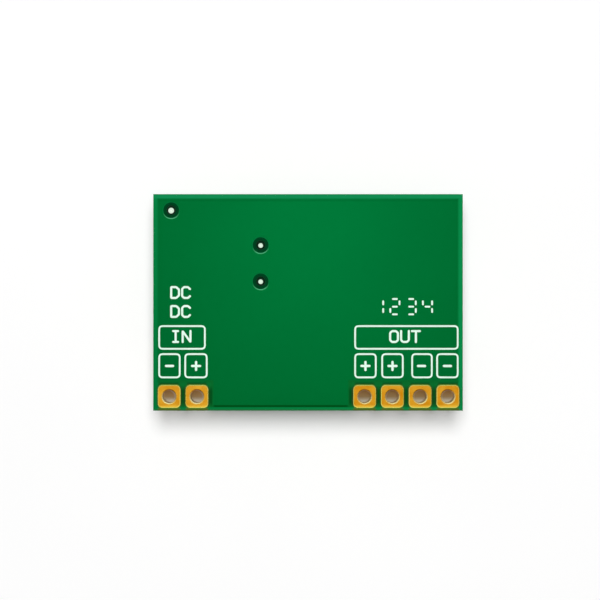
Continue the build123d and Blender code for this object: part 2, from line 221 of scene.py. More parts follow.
# Places seen from above; a box is its left, bottom, right and top
PLANE_LOW, PLANE_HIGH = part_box("back_copper_plane")
PLANE_BOX = (PLANE_LOW.x, PLANE_LOW.y, PLANE_HIGH.x, PLANE_HIGH.y)
PLANE_HEAD = PLANE_HIGH.y
BOARD_FOOT = LAMINATE_LOW.y
VIAS = [centre(name) for name in ("via_1", "via_2", "via_3")]
PADS = [centre(name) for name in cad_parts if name.startswith("edge_terminal_")]
PAD_LOW, PAD_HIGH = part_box("edge_terminal_vin_minus")
PAD_HALF = (PAD_HIGH.x - PAD_LOW.x) / 2
PAD_ROW = PADS[0].y
PAD_HEAD = PAD_ROW + PAD_HALF
PAD_FOOT = PAD_ROW - PAD_HALF
PAD_BOXES = [(at.x - PAD_HALF, PAD_FOOT, at.x + PAD_HALF, PAD_HEAD) for at in PADS]
PAD_COLUMNS = [(at.x - PAD_HALF, -FAR, at.x + PAD_HALF, FAR) for at in PADS]

# Copper areas of the component side, with a bare line round each
POURS = [
    (-11.4 * MM, -9.65 * MM, -7.45 * MM, -5.75 * MM),
    (-13.6 * MM, -7.2 * MM, -7.45 * MM, -5.75 * MM),
    (-7.15 * MM, -5.6 * MM, -5.7 * MM, -2 * MM),
    (-7.15 * MM, -2.4 * MM, 0.3 * MM, 0.6 * MM),
    (-2.8 * MM, 0.5 * MM, 0.3 * MM, 3.5 * MM),
    (5.3 * MM, 0.5 * MM, 9.6 * MM, 5.05 * MM),
    (6.3 * MM, -7.3 * MM, 9.6 * MM, 0.6 * MM),
    (4 * MM, -9.65 * MM, 8.95 * MM, -7.25 * MM),
]
POUR_GAP = 0.25 * MM
POUR_EDGE = (0.45 * POUR_GAP, 0.65 * POUR_GAP)  # from the middle of the line

# Greens of the mask
OVER_COPPER = colour(0, 91, 34)
OVER_COPPER_LIGHT = colour(0, 113, 49)
# Over the bare border: the ink's own lighter green, graded darker and lighter by painted light
# towards the upper right
OVER_LAMINATE = colour(4, 112, 52)
OVER_LAMINATE_LIGHT = colour(10, 131, 68)
# Painted light on the border above the plane, over the ink's own lighter green there
UPPER_BORDER_LIT = colour(18, 132, 76)
BRINK_GREEN = colour(40, 98, 54)  # along the board's lower edge
LEE_GREEN = colour(0, 67, 8)  # on slopes that face the lower edge, away from the light
SUNLIT_GREEN = colour(70, 150, 104)  # on slopes that face the upper edge
AROUND_PADS = colour(9, 97, 34)
# Painted shade beside and above the pads, turning olive close to them
BESIDE_PLANE = colour(4, 64, 10)
BESIDE_PADS = colour(32, 56, 0)
BELOW_PADS = colour(76, 92, 26)
OPENING_GREEN = colour(0, 46, 13)
# Painted shade in the vias' mouths, on the ink and on the holes' walls
OPENING_SHADE = colour(2, 36, 13)
MASK_SHEEN = (0.01, 1.0, 0.4, 1.0)

# Spans over which the bare side's greens change
SOFT = 0.1 * MM
# Painted light on the bare border, lighter towards the upper right
BORDER_LIGHT_SPAN = (-16 * MM, 16 * MM)  # X and Y added up
# Painted pool of light on the copper plane: its middle, and the span over which it fades
LIGHT_POOL_MIDDLE = [(0.0, 7 * MM)]
LIGHT_POOL_SPAN = (3 * MM, 19 * MM)  # from the lightest place
# Painted shade line just below the plane's upper edge, where the painted pool of light is halved
UPPER_SHADE_LINE = (-0.27 * MM, -0.18 * MM)  # up from the plane's upper edge
BRINK_SPAN = (0.08 * MM, 0.18 * MM)  # up from the board's lower edge
LEE_FACING = (-0.22, -0.1)  # the surface normal's Y
LEE_FROM_PADS = (0.35 * MM, 0.6 * MM)
LEE_FROM_VIAS = (0.85 * MM, 0.95 * MM)
SUNLIT_FACING = (0.15, 0.4)
SUNLIT_FROM_VIAS = (0.8 * MM, 0.84 * MM)
OUTWARD_SPAN = (13.68 * MM, 13.8 * MM)  # from the board's middle, along X
AROUND_SPAN = (0.38 * MM, 0.55 * MM)  # from the pads
# Where the painted shade round the pads reaches
BESIDE_SPAN = (0.3 * MM, 0.46 * MM)  # from the pads
CLOSE_SPAN = (0.08 * MM, 0.2 * MM)  # from the pads
ALONG_SPAN = (0.55 * MM, 1.0 * MM)  # from the row of holes, along Y
ABOVE_SPAN = (0.18 * MM, 0.34 * MM)  # up from the pads' upper edge
ABOVE_SIDES = (-0.25 * MM, -0.05 * MM)  # out from the pads' sides
BELOW_SIDES = (-0.1 * MM, 0.05 * MM)  # out from the pads' sides
OPENING_SPAN = (0.7 * MM, 0.74 * MM)  # from the vias' axes
OPENING_SHADE_SPAN = (0.46 * MM, 0.56 * MM)  # from the vias' axes

# Shares of the blotches and of the painted pool of light in the tone over the copper plane
BROAD_SHARE = 0.15
FINE_SHARE = 0.05
POOL_SHARE = 0.8

# The strongest that a tone or painted shade gets, and what is left of painted light or shade
# where another place weakens it
BRINK_FULL = 0.6
ABOVE_FULL = 0.7
POOL_LEFT_AT_LINE = 0.5
LEE_LEFT_AT_PADS = 0.35
SHADE_LEFT_OUTWARD = 0.1


def copper_and_border(ink, broad):
    """The mask's greens over the copper plane and over the bare border, with painted light and
    shade.
    """
    over_copper = ink.remap(ink.axis("Z"), MASK_TOP - MASK_RELIEF, MASK_TOP)
    fine = ink.noise(0.7 * MM, detail=3.0)
    up = ink.axis("Y")
    # Painted light: a pool of light on the plane, halved in a painted shade line just below its
    # upper edge
    light_pool = ink.times(
        ink.fade(ink.from_axes(LIGHT_POOL_MIDDLE), LIGHT_POOL_SPAN),
        ink.remap(up, *moved(UPPER_SHADE_LINE, PLANE_HEAD), 1, POOL_LEFT_AT_LINE),
    )
    tone = ink.plus(
        ink.times(broad, BROAD_SHARE), ink.times(fine, FINE_SHARE), ink.times(light_pool, POOL_SHARE)
    )
    plane = ink.mix(tone, OVER_COPPER, OVER_COPPER_LIGHT)
    # Painted light: the border lighter towards the upper right
    aside = ink.remap(ink.plus(ink.axis("X"), up), *BORDER_LIGHT_SPAN)
    border = ink.mix(aside, OVER_LAMINATE, OVER_LAMINATE_LIGHT)
    # Painted light on the border strip above the plane
    border = ink.mix(ink.remap(up, PLANE_HEAD, PLANE_HEAD + SOFT), border, UPPER_BORDER_LIT)
    brink = ink.fade(up, moved(BRINK_SPAN, BOARD_FOOT), BRINK_FULL)
    border = ink.mix(brink, border, BRINK_GREEN)
    return ink.mix(over_copper, border, plane)


def shade_pads(ink, green, up, beside):
    """The green round the pads: its own darker tone, painted shade beside and above them, and an
    olive strip below.
    """
    outward = ink.step("ABSOLUTE", ink.axis("X"))
    within = ink.remap(outward, *OUTWARD_SPAN, 1, SHADE_LEFT_OUTWARD)
    above_foot = ink.remap(up, PAD_FOOT, PAD_FOOT + SOFT)
    around = ink.times(ink.fade(beside, AROUND_SPAN), within, above_foot)
    green = ink.mix(around, green, AROUND_PADS)
    column = ink.from_boxes(PAD_COLUMNS)
    # Painted shade beside the pads along their row, and above them
    along = ink.fade(ink.off(up, PAD_ROW), ALONG_SPAN)
    aside = ink.times(ink.fade(beside, BESIDE_SPAN), along)
    above = ink.times(
        ink.fade(up, moved(ABOVE_SPAN, PAD_HEAD), ABOVE_FULL),
        ink.remap(up, PAD_ROW, PAD_ROW + SOFT),
        ink.fade(column, ABOVE_SIDES),
    )
    shaded = ink.times(ink.step("MAXIMUM", aside, above), within)
    shade = ink.mix(ink.remap(beside, *CLOSE_SPAN), BESIDE_PADS, BESIDE_PLANE)
    green = ink.mix(shaded, green, shade)
    under = ink.fade(up, (PAD_FOOT - SOFT / 2, PAD_FOOT))
    below = ink.times(under, ink.fade(column, BELOW_SIDES))
    return ink.mix(below, green, BELOW_PADS)


def bare_side_mask():
    """Glossy green ink, lighter on the bare border and dark round the vias, with painted light
    and shade.
    """
    ink = Finish("bare_side_mask", IOR=1.5, Specular_IOR_Level=0.3, Specular_Tint=MASK_SHEEN)
    broad = ink.noise(11 * MM, detail=1.0)
    up = ink.axis("Y")
    beside = ink.from_boxes(PAD_BOXES)
    near = ink.from_axes(VIAS)
    green = copper_and_border(ink, broad)
    lee = ink.times(
        ink.fade(ink.facing("Y"), LEE_FACING),
        ink.remap(beside, *LEE_FROM_PADS, LEE_LEFT_AT_PADS, 1),
        ink.fade(up, (PAD_ROW, PAD_ROW + SOFT)),
        ink.remap(near, *LEE_FROM_VIAS),
    )
    green = ink.mix(lee, green, LEE_GREEN)
    green = shade_pads(ink, green, up, beside)
    lit = ink.remap(ink.facing("Y"), *SUNLIT_FACING)
    green = ink.mix(ink.times(lit, ink.fade(near, SUNLIT_FROM_VIAS)), green, SUNLIT_GREEN)
    green = ink.mix(ink.fade(near, OPENING_SPAN), green, OPENING_GREEN)
    # Painted shade in the vias' mouths
    green = ink.mix(ink.fade(near, OPENING_SHADE_SPAN), green, OPENING_SHADE)
    return ink.wear(
        Base_Color=green,
        Roughness=ink.remap(broad, 0, 1, 0.18, 0.22),
        Normal=ink.bump(ink.noise(0.25 * MM, low=0, high=1), 0.0004 * MM),
    )


def component_side_mask():
    """The same ink on the component side, with lighter lines where the copper is parted."""
    ink = Finish("component_side_mask", IOR=1.5, Specular_IOR_Level=0.3, Specular_Tint=MASK_SHEEN)
    tone = ink.noise(6 * MM)
    from_line = ink.off(ink.from_boxes(POURS), POUR_GAP / 2)
    copper = ink.times(
        ink.remap(from_line, *POUR_EDGE),
        ink.fade(ink.from_box(*PLANE_BOX), (0, SOFT)),
    )
    over_copper = ink.mix(tone, OVER_COPPER, OVER_COPPER_LIGHT)
    green = ink.mix(copper, ink.mix(tone, OVER_LAMINATE, OVER_LAMINATE_LIGHT), over_copper)
    return ink.wear(
        Base_Color=green,
        Roughness=ink.remap(ink.noise(0.3 * MM), 0, 1, 0.22, 0.34),
        Normal=ink.bump(copper, 0.02 * MM),
    )


PLY = 0.19 * MM
FACE_DEPTH = 0.01 * MM  # how deep a face's own colour reaches
PAD_SHADE_SPAN = (0.85 * MM, 1.0 * MM)  # from the row of holes, along Y
VIA_WALL_SPAN = (0.46 * MM, 0.5 * MM)  # from the vias' axes


def glass_fibre():
    """Pale layered glass fibre at the cut edges and dull green on the faces."""
    board = Finish("glass_fibre", IOR=1.5, Specular_IOR_Level=0.4)
    height = board.axis("Z")
    fibres = board.noise(0.16 * MM, detail=3.0, stretch=(1, 1, 3))
    plies = board.remap(board.waves(height, PLY), -1, 1, 0, 0.6)
    layers = board.plus(plies, board.times(fibres, 0.4))
    edge = board.mix(layers, colour(158, 156, 98), colour(198, 196, 142))
    face = board.mix(fibres, colour(76, 110, 20), colour(90, 124, 28))
    shaded = board.mix(fibres, colour(20, 44, 0), colour(30, 56, 0))
    by_pads = board.fade(board.off(board.axis("Y"), PAD_ROW), PAD_SHADE_SPAN)
    face = board.mix(by_pads, face, shaded)
    at_top = board.remap(height, LAMINATE_HIGH.z - FACE_DEPTH, LAMINATE_HIGH.z)
    at_bottom = board.fade(height, (LAMINATE_LOW.z, LAMINATE_LOW.z + FACE_DEPTH))
    shown = board.mix(board.step("MAXIMUM", at_top, at_bottom), edge, face)
    # Painted shade on the laminate walls of the vias' holes
    at_via = board.fade(board.from_axes(VIAS), VIA_WALL_SPAN)
    shown = board.mix(at_via, shown, OPENING_SHADE)
    return board.wear(
        Base_Color=shown,
        Roughness=board.remap(fibres, 0, 1, 0.5, 0.75),
        Normal=board.bump(layers, 0.006 * MM),
    )


RIM_SPAN = (0.72 * MM, 0.8 * MM)  # from the holes' axes
# Painted highlights on the holes' lower rims and along the pads' lower edge
LIP_HIGHLIGHT_SPAN = (0.66 * MM, 0.72 * MM)  # from the holes' axes
LIP_HIGHLIGHT_LEVELS = (-0.45 * MM, -0.15 * MM)  # up from the row of holes
FOOT_HIGHLIGHT_SPAN = (0.06 * MM, 0.3 * MM)  # up from the pads' lower edge
FLAT_TONES = (-11 * MM, 6 * MM)  # along X
# Which way the painted highlights on the edges and the painted light and shade in the holes face
EDGE_HIGHLIGHT_FACING = (-0.5, 0.5)  # the surface normal's Y
BARREL_LIGHT_FACING = (-0.6, 0.7)
SLOPING = (0.8, 0.97)  # the surface normal's Z, either way
STEEP = (0.2, 0.5)


def gold():
    """Gold over nickel, with painted highlights where its edges turn down and painted light and
    shade in its holes.
    """
    metal = Finish("gold_plating", Metallic=1.0)
    up = metal.axis("Y")
    upright = metal.step("ABSOLUTE", metal.facing("Z"))
    patches = metal.noise(0.9 * MM, detail=3.0)
    aside = metal.fade(metal.axis("X"), FLAT_TONES, 0.3)
    tone = metal.plus(metal.times(patches, 0.8), aside)
    flat = metal.mix(tone, colour(203, 133, 8), colour(223, 165, 46))
    # Painted highlight along the pads' lower edge
    foot_highlight = metal.fade(up, moved(FOOT_HIGHLIGHT_SPAN, PAD_FOOT), 0.8)
    flat = metal.mix(foot_highlight, flat, colour(240, 200, 70))
    from_hole = metal.from_axes(PADS)
    # Painted highlight on the lower rim of each hole
    below = metal.fade(up, moved(LIP_HIGHLIGHT_LEVELS, PAD_ROW))
    lip_highlight = metal.times(below, metal.fade(from_hole, LIP_HIGHLIGHT_SPAN))
    flat = metal.mix(lip_highlight, flat, colour(255, 236, 156))
    # Painted highlights on the pads' rounded edges, brightest on those that face the lower edge
    upward = metal.remap(metal.facing("Y"), *EDGE_HIGHLIGHT_FACING)
    edge = metal.mix(upward, colour(255, 246, 128), colour(206, 204, 112))
    # Painted light and shade on the holes' rims and walls: bright where they face the upper edge,
    # dark brown where they face away
    sunlit = metal.remap(metal.facing("Y"), *BARREL_LIGHT_FACING)
    mouth_light_and_shade = metal.mix(sunlit, colour(178, 118, 10), colour(255, 248, 176))
    rim = metal.mix(metal.fade(from_hole, RIM_SPAN), edge, mouth_light_and_shade)
    barrel_light_and_shade = metal.mix(sunlit, colour(132, 78, 20), colour(255, 236, 190))
    shown = metal.mix(metal.fade(upright, SLOPING), flat, rim)
    shown = metal.mix(metal.fade(upright, STEEP), shown, barrel_light_and_shade)
    return metal.wear(
        Base_Color=shown,
        Roughness=metal.remap(patches, 0, 1, 0.22, 0.32),
        Normal=metal.bump(metal.noise(0.06 * MM), 0.0015 * MM),
    )


BEAD_SHIFT = Vector((0, -0.04 * MM, 0))  # of the beads' middles from the vias' axes
BEAD_PLACES = (-12 * MM, -5 * MM)  # along X, and the beads' radii there
BEAD_RADII = (0.265 * MM, 0.215 * MM)
BEAD_EDGE = (-0.02 * MM, 0.01 * MM)  # out from a bead's edge
BEAD_MIDDLE = (0.0, 0.14 * MM)  # out from its middle


def via_metal():
    """A bright bead of solder in a ring of mask that ran into the hole, dark with painted shade.
    """
    metal = Finish("via_solder", Specular_IOR_Level=0.1)
    near = metal.from_axes([place + BEAD_SHIFT for place in VIAS])
    radius = metal.remap(metal.axis("X"), *BEAD_PLACES, *BEAD_RADII)
    bare = metal.fade(metal.step("SUBTRACT", near, radius), BEAD_EDGE)
    middle = metal.fade(near, BEAD_MIDDLE)
    bead = metal.mix(middle, colour(216, 236, 216), colour(238, 250, 236))
    ripple = metal.noise(0.2 * MM)
    return metal.wear(
        # Round the bead: painted shade on the mask in the hole's mouth
        Base_Color=metal.mix(bare, colour(4, 44, 22), bead),
        Metallic=bare,
        Roughness=metal.remap(ripple, 0, 1, 0.2, 0.3),
        Normal=metal.bump(ripple, 0.003 * MM),
    )


def copper():
    """Bare rolled copper."""
    metal = Finish("board_copper", Metallic=1.0)
    patches = metal.noise(1.2 * MM, detail=3.0)
    return metal.wear(
        Base_Color=metal.mix(patches, colour(198, 118, 78), colour(224, 148, 104)),
        Roughness=metal.remap(patches, 0, 1, 0.3, 0.45),
    )


# Component side


def solder():
    """Bright solder with soft ripples and a trace of grey."""
    metal = Finish("solder", Metallic=1.0)
    ripple = metal.noise(0.5 * MM, detail=3.0)
    return metal.wear(
        Base_Color=metal.mix(ripple, colour(186, 188, 188), colour(226, 228, 228)),
        Roughness=metal.remap(ripple, 0, 1, 0.16, 0.34),
        Normal=metal.bump(ripple, 0.012 * MM),
    )


def tin():
    """Matt tin plating."""
    metal = Finish("tinned_metal", Metallic=1.0)
    patches = metal.noise(0.8 * MM, detail=3.0)
    grain = metal.noise(0.05 * MM)
    return metal.wear(
        Base_Color=metal.mix(patches, colour(176, 176, 172), colour(208, 208, 204)),
        Roughness=metal.remap(patches, 0, 1, 0.34, 0.5),
        Normal=metal.bump(grain, 0.002 * MM),
    )


def ferrite():
    """Dark pressed ferrite with a fine crystalline speckle."""
    block = Finish("ferrite", IOR=1.6)
    speckle = block.noise(0.07 * MM, detail=3.0, low=0.35, high=0.75)
    patches = block.noise(2.5 * MM, detail=3.0)
    body = block.mix(patches, colour(44, 44, 48), colour(58, 58, 62))
    return block.wear(
        Base_Color=block.mix(block.times(speckle, 0.35), body, colour(108, 108, 116)),
        Roughness=block.remap(speckle, 0, 1, 0.62, 0.42),
        Normal=block.bump(speckle, 0.006 * MM),
    )


WIRE_PITCH = 0.3 * MM


def enamelled_wire():
    """Copper wire under clear enamel, its turns side by side."""
    wire = Finish("enamelled_wire", Metallic=0.9, Coat_Weight=0.6, Coat_Roughness=0.1)
    ridge = wire.step("ABSOLUTE", wire.waves(wire.axis("Z"), WIRE_PITCH))
    patches = wire.noise(0.9 * MM)
    base = wire.mix(patches, colour(166, 78, 34), colour(196, 104, 52))
    return wire.wear(
        # Darker in the grooves between the turns: painted shade
        Base_Color=wire.mix(wire.remap(ridge, 0, 0.3), colour(70, 28, 12), base),
        Roughness=wire.remap(patches, 0, 1, 0.25, 0.35),
        Normal=wire.bump(ridge, 0.06 * MM),
    )


def plain(name, dark, light, blotch, grain, depth, smooth, dull, **sockets):
    """A moulded or fired surface: two tones in blotches, and a fine grain."""
    finish = Finish(name, **sockets)
    patches = finish.noise(blotch, detail=3.0)
    grains = finish.noise(grain, detail=3.0)
    return finish.wear(
        Base_Color=finish.mix(patches, colour(*dark), colour(*light)),
        Roughness=finish.remap(grains, 0, 1, smooth, dull),
        Normal=finish.bump(grains, depth),
    )


COAT_FROM = (-0.12 * MM, -0.1 * MM)  # up from the middle of a resistor's body
BAND_FROM = (0.45 * MM, 0.48 * MM)  # from the left end of the diode's case
BAND_TO = (0.95 * MM, 0.98 * MM)
OUTER_FACING = (-0.95, -0.85)  # the surface normal's Z


def resistor():
    """White ceramic whose outer face has a dark glass coat."""
    chip = Finish("resistor_body", IOR=1.5)
    coated = chip.fade(chip.axis("Z"), moved(COAT_FROM, centre("timing_resistor_body").z))
    grains = chip.noise(0.12 * MM)
    ceramic = chip.mix(grains, colour(206, 204, 196), colour(228, 226, 220))
    glass = chip.mix(grains, colour(22, 22, 25), colour(34, 34, 38))
    return chip.wear(
        Base_Color=chip.mix(coated, ceramic, glass),
        Roughness=chip.remap(coated, 0, 1, 0.6, 0.22),
        Normal=chip.bump(grains, 0.003 * MM),
    )


def diode_case():
    """Black moulding with a pale band that marks the cathode."""
    case = Finish("diode_case", IOR=1.5)
    along = case.step("SUBTRACT", case.axis("X"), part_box("diode_body")[0].x)
    band = case.times(
        case.remap(along, *BAND_FROM),
        case.fade(along, BAND_TO),
        case.fade(case.facing("Z"), OUTER_FACING),
    )
    grains = case.noise(0.08 * MM, detail=3.0)
    black = case.mix(grains, colour(24, 24, 26), colour(36, 36, 38))
    return case.wear(
        Base_Color=case.mix(band, black, colour(196, 198, 194)),
        Roughness=case.remap(grains, 0, 1, 0.5, 0.68),
        Normal=case.bump(grains, 0.006 * MM),
    )


def bodies(kind):
    """The names of the bodies of one kind of chip."""
    return [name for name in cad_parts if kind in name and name.endswith("_body")]


dress(bare_side_mask(), "back_solder_mask")
dress(component_side_mask(), "front_solder_mask")
dress(glass_fibre(), "laminate")
dress(gold(), "edge_terminal", "front_lands")
dress(via_metal(), "via_")
dress(copper(), "back_copper_plane")
dress(solder(), "solder_joints")
tinned = ["regulator_leads", "regulator_thermal_pad", "diode_leads", "inductor_clip"]
dress(tin(), *tinned, *[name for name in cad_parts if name.endswith("_ends")])
dress(ferrite(), "inductor_shield", "inductor_core")
dress(enamelled_wire(), "inductor_winding")
dress(
    plain(
        "adhesive",
        dark=(186, 166, 116),
        light=(214, 198, 154),
        blotch=1.2 * MM,
        grain=0.3 * MM,
        depth=0.02 * MM,
        smooth=0.25,
        dull=0.4,
        IOR=1.5,
        Subsurface_Weight=0.2,
        Subsurface_Scale=0.4 * MM,
    ),
    "inductor_adhesive",
)
dress(
    plain(
        "moulded_base",
        dark=(30, 27, 25),
        light=(44, 40, 37),
        blotch=2 * MM,
        grain=0.12 * MM,
        depth=0.008 * MM,
        smooth=0.5,
        dull=0.7,
    ),
    "inductor_base",
)
dress(
    plain(
        "moulded_case",
        dark=(22, 22, 24),
        light=(34, 34, 37),
        blotch=1.5 * MM,
        grain=0.08 * MM,
        depth=0.006 * MM,
        smooth=0.5,
        dull=0.68,
    ),
    "regulator_body",
)
dress(
    plain(
        "capacitor_ceramic",
        dark=(150, 116, 80),
        light=(176, 140, 100),
        blotch=1.3 * MM,
        grain=0.06 * MM,
        depth=0.003 * MM,
        smooth=0.3,
        dull=0.46,
    ),
    *bodies("capacitor"),
)
dress(resistor(), *bodies("resistor"))
dress(diode_case(), "diode_body")


# Print


# Widths of the strokes
BOX_LINE = 0.175 * MM
LETTER_LINE = 0.212 * MM
SIGN_LINE = 0.235 * MM
NUMBER_LINE = 0.185 * MM

# Ink over the mask, and how finely its strokes are divided
INK_HEIGHT = 0.009 * MM
INK_SINK = 0.004 * MM
INK_STEP = 0.3 * MM
END_TURNS = [0.35, 0.7, 1.05, 1.4]  # steps round a stroke's end, in radians
CORNER_STEPS = 4

# A stroke's section: shares of its half width, and the heights there over the mask
SECTION = [
    (-1, -INK_SINK),
    (-0.8, 0.75 * INK_HEIGHT),
    (0, INK_HEIGHT),
    (0.8, 0.75 * INK_HEIGHT),
    (1, -INK_SINK),
]

# Size, spacing and rounding of the letters
LETTER_CORNER = 0.07 * MM
LETTER_HEIGHT = 0.99 * MM
LETTER_WIDTH = 0.71 * MM
LETTER_PITCH = 1.0 * MM

# Strokes of each letter, on a grid of this width and height
LETTER_GRID = (4, 6)
LETTERS = {
    "C": [[(4, 5), (3, 6), (1, 6), (0, 5), (0, 1), (1, 0), (3, 0), (4, 1)]],
    "D": [[(0, 0), (0, 6), (2.6, 6), (4, 4.6), (4, 1.4), (2.6, 0), (0, 0)]],
    "I": [[(0.8, 6), (3.2, 6)], [(2, 6), (2, 0)], [(0.8, 0), (3.2, 0)]],
    "N": [[(0, 0), (0, 6), (4, 0), (4, 6)]],
    "O": [[(1, 0), (0, 1), (0, 5), (1, 6), (3, 6), (4, 5), (4, 1), (3, 0), (1, 0)]],
    "U": [[(0, 6), (0, 1), (1, 0), (3, 0), (4, 1), (4, 6)]],
    "T": [[(0, 6), (4, 6)], [(2, 6), (2, 0)]],
}

# Words: text, and the x and y of its middle
WORDS = [
    ("DC", -11.65 * MM, 0.9 * MM),
    ("DC", -11.65 * MM, -0.83 * MM),
    ("IN", -11.6 * MM, -3.12 * MM),
    ("OUT", 8.86 * MM, -3.12 * MM),
]

# Outer edges of the boxes in millimetres: left, bottom, right, top
WORD_BOXES = [(-13.69, -4.33, -9.34, -2.08), (4.22, -4.33, 13.77, -2.08)]
SIGN_COLUMNS = [
    (-13.69, -11.64),
    (-11.31, -9.17),
    (4.22, 6.28),
    (6.69, 8.75),
    (9.43, 11.4),
    (11.71, 13.77),
]
SIGN_ROW = (-6.94, -4.64)
BOX_CORNER = 0.32 * MM

# Signs, and the x of their middles in millimetres
SIGNS = [("-", -12.66), ("+", -10.23), ("+", 5.25), ("+", 7.72), ("-", 10.37), ("-", 12.74)]
SIGN_Y = -5.81 * MM
MINUS_LENGTH = 0.62 * MM
PLUS_LENGTH = 0.71 * MM

# Numbers made of separate dashes, as on a seven-bar display
NUMBERS = "1234"
NUMBER_BARS = {"1": "bc", "2": "abged", "3": "abgcd", "4": "fgbc"}
NUMBER_LEFT = 6.03 * MM
NUMBER_TOP = 0.31 * MM
NUMBER_PITCH = 1.49 * MM
NUMBER_WIDTH = 0.84 * MM
NUMBER_HALF = 0.7 * MM
NUMBER_LEVEL_GAP = 0.25 * MM
NUMBER_UPRIGHT_GAP = 0.22 * MM


def rounded(points, radius, closed):
    """The points with each corner turned into a short arc."""
    points = [Vector(point) for point in points]
    count = len(points)
    line = []
    for n, corner in enumerate(points):
        if not closed and n in (0, count - 1):
            line.append(corner)
            continue
        before = (points[n - 1] - corner).normalized()
        after = (points[(n + 1) % count] - corner).normalized()
        start = corner + before * radius
        stop = corner + after * radius
        for step in range(CORNER_STEPS + 1):
            t = step / CORNER_STEPS
            line.append(start * (1 - t) ** 2 + corner * 2 * t * (1 - t) + stop * t**2)
    return line


def divided(line, closed):
    """The line with points added on its long runs, so that the ink can follow the mask."""
    ends = line[1:] + line[:1] if closed else line[1:]
    found = []
    for start, stop in zip(line, ends):
        parts = max(1, math.ceil((stop - start).length / INK_STEP))
        found += [start.lerp(stop, n / parts) for n in range(parts)]
    return found if closed else found + [line[-1]]


class Ink:
    """A raised print whose strokes follow the mask's surface."""

    def __init__(self):
        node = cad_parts["back_solder_mask"]
        self.surface = BVHTree.FromPolygons(
            [vertex.co for vertex in node.data.vertices],
            [polygon.vertices for polygon in node.data.polygons],
        )
        self.points = []
        self.faces = []

    def level(self, x, y):
        """The height of the mask under a point."""
        return self.surface.ray_cast(Vector((x, y, FAR)), Vector((0, 0, -1)))[0].z

    def ring(self, at, across, half):
        """Points across a stroke, from one sunken side over the crown to the other."""
        first = len(self.points)
        for share, rise in SECTION:
            spot = at + across * half * share
            self.points.append((spot.x, spot.y, self.level(spot.x, spot.y) + rise))
        return list(range(first, len(self.points)))

    def stroke(self, points, width=LETTER_LINE, corner=LETTER_CORNER, closed=False):
        """One stroke of an even width, with round ends unless it is closed."""
        line = divided(rounded(points, corner, closed), closed)
        half = width / 2
        count = len(line)
        rings = []
        for n, at in enumerate(line):
            ahead = line[(n + 1) % count] - at if closed or n < count - 1 else at - line[n - 1]
            behind = at - line[n - 1] if closed or n > 0 else ahead
            along = (ahead.normalized() + behind.normalized()).normalized()
            turns = [0.0]
            if not closed and n == 0:
                turns = [-turn for turn in reversed(END_TURNS)] + turns
            if not closed and n == count - 1:
                turns += END_TURNS
            across = Vector((-along.y, along.x))
            for turn in turns:
                ahead_by = half * math.sin(turn)
                rings.append(self.ring(at + along * ahead_by, across, half * math.cos(turn)))
        pairs = list(zip(rings, rings[1:]))
        if closed:
            pairs.append((rings[-1], rings[0]))
        for one, other in pairs:
            for k, after in enumerate([*range(1, len(SECTION)), 0]):
                self.faces.append((one[k], other[k], other[after], one[after]))
        if not closed:
            self.faces.append(tuple(rings[0]))
            self.faces.append(tuple(reversed(rings[-1])))

    def word(self, text, x, y):
        """A word of capital letters with its middle at x, y."""
        start = x - (LETTER_PITCH * (len(text) - 1) + LETTER_WIDTH) / 2
        bottom = y - LETTER_HEIGHT / 2
        across, up = LETTER_WIDTH / LETTER_GRID[0], LETTER_HEIGHT / LETTER_GRID[1]
        for n, letter in enumerate(text):
            left = start + n * LETTER_PITCH
            for stroke in LETTERS[letter]:
                points = [(left + u * across, bottom + v * up) for u, v in stroke]
                closed = points[0] == points[-1]
                self.stroke(points[:-1] if closed else points, closed=closed)

    def box(self, left, bottom, right, top):
        """A rounded box, given by its outer edges in millimetres."""
        inset = BOX_LINE / 2
        x0, y0 = left * MM + inset, bottom * MM + inset
        x1, y1 = right * MM - inset, top * MM - inset
        self.stroke([(x0, y0), (x1, y0), (x1, y1), (x0, y1)], BOX_LINE, BOX_CORNER, closed=True)

    def sign(self, kind, x, y):
        """A plus or a minus."""
        reach = (PLUS_LENGTH if kind == "+" else MINUS_LENGTH) / 2
        self.stroke([(x - reach, y), (x + reach, y)], SIGN_LINE)
        if kind == "+":
            self.stroke([(x, y - reach), (x, y + reach)], SIGN_LINE)

    def number(self, digit, left, top):
        """One digit, a dash for each of its lit bars."""
        right = left + NUMBER_WIDTH
        middle = top - NUMBER_HALF
        bottom = middle - NUMBER_HALF
        x0, x1 = left + NUMBER_LEVEL_GAP, right - NUMBER_LEVEL_GAP
        gap = NUMBER_UPRIGHT_GAP
        bars = {
            "a": [(x0, top), (x1, top)],
            "b": [(right, top - gap), (right, middle + gap)],
            "c": [(right, middle - gap), (right, bottom + gap)],
            "d": [(x0, bottom), (x1, bottom)],
            "e": [(left, middle - gap), (left, bottom + gap)],
            "f": [(left, top - gap), (left, middle + gap)],
            "g": [(x0, middle), (x1, middle)],
        }
        for bar in NUMBER_BARS[digit]:
            self.stroke(bars[bar], NUMBER_LINE)

    def piece(self, name, material):
        """The strokes drawn so far as one piece."""
        mesh = bpy.data.meshes.new(name)
        mesh.from_pydata(self.points, [], self.faces)
        mesh.validate()
        mesh.materials.append(material)
        made = bpy.data.objects.new(name, mesh)
        bpy.context.scene.collection.objects.link(made)
        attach(made, ROOT)


white_ink = plain(
    "white_ink",
    dark=(222, 250, 232),
    light=(236, 255, 242),
    blotch=0.8 * MM,
    grain=0.1 * MM,
    depth=0.002 * MM,
    smooth=0.4,
    dull=0.6,
)

boxes = Ink()
for box in WORD_BOXES:
    boxes.box(*box)
for left, right in SIGN_COLUMNS:
    boxes.box(left, SIGN_ROW[0], right, SIGN_ROW[1])
boxes.piece("print_boxes", white_ink)

signs = Ink()
for kind, x in SIGNS:
    signs.sign(kind, x * MM, SIGN_Y)
signs.piece("print_signs", white_ink)

